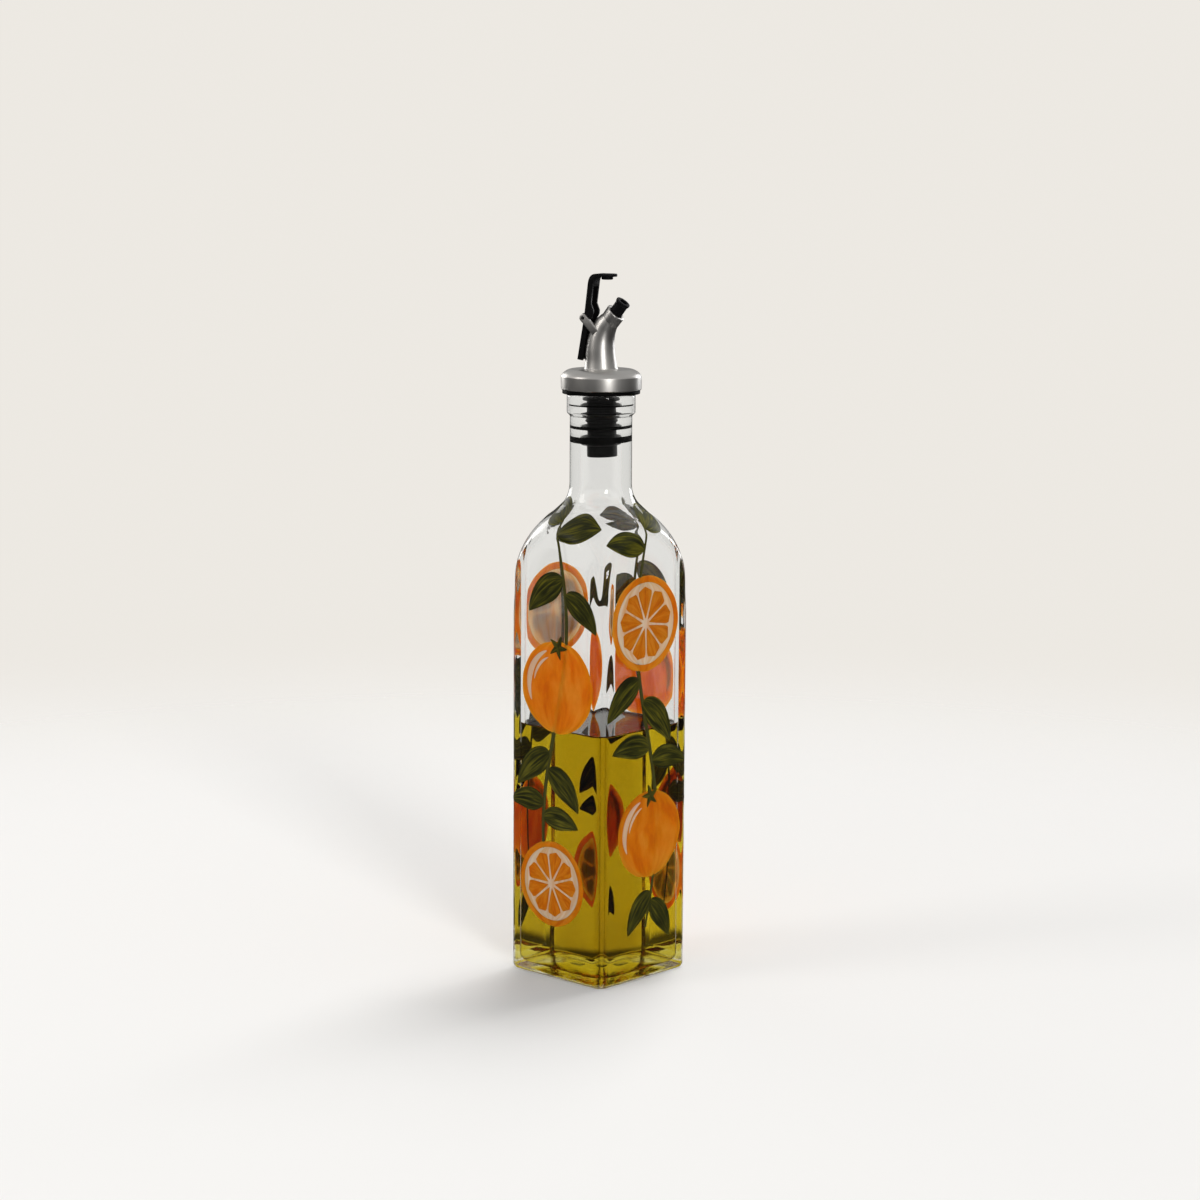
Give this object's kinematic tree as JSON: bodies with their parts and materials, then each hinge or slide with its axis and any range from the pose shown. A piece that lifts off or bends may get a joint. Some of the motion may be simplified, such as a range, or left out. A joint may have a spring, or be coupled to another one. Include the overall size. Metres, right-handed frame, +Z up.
{
  "type": "oil and vinegar dispenser",
  "caption": "Square glass oil bottle with a domed shoulder, part filled with olive oil, closed by a ribbed rubber stopper and a metal pourer with a bent spout and a flip lever.",
  "frame": {"origin": "centre of the base, on the surface that the bottle stands on", "axes": "+Z up along the bottle; the four flat sides face +X, -X, +Y and -Y; the spout pours towards +X, turned 17 degrees towards +Y"},
  "size_m": [0.058, 0.058, 0.3163],
  "materials": {
    "clear_glass": "polished clear soda-lime glass, thick at the base and the corners",
    "olive_oil": "clear olive oil, yellow-green, darker where it is deeper",
    "black_rubber": "black moulded rubber, slightly oily where it is wet",
    "satin_metal": "satin-plated zinc casting, fine blasted grain",
    "black_plastic": "black moulded plastic, low sheen",
    "pin_steel": "plain turned steel pin",
    "fruit_paint": "brushed enamel paint on the outside of the glass, orange with pale highlights",
    "leaf_paint": "brushed enamel paint on the outside of the glass, dark olive with lighter strokes"
  },
  "bodies": {
    "bottle": {"glass_bottle": "clear_glass", "oil": "olive_oil", "stopper": "black_rubber", "pourer_casting": "satin_metal", "spout_tip": "black_plastic", "hinge_pin": "pin_steel"},
    "lever": {"lever": "black_plastic"}
  },
  "joints": [
    {"name": "lever_pivot", "type": "hinge", "parent": "bottle", "child": "lever", "pos_m": [-0.00641, -0.00196, 0.2968], "axis": [-0.2924, 0.9563, 0], "range_deg": [0, 37.5]}
  ]
}
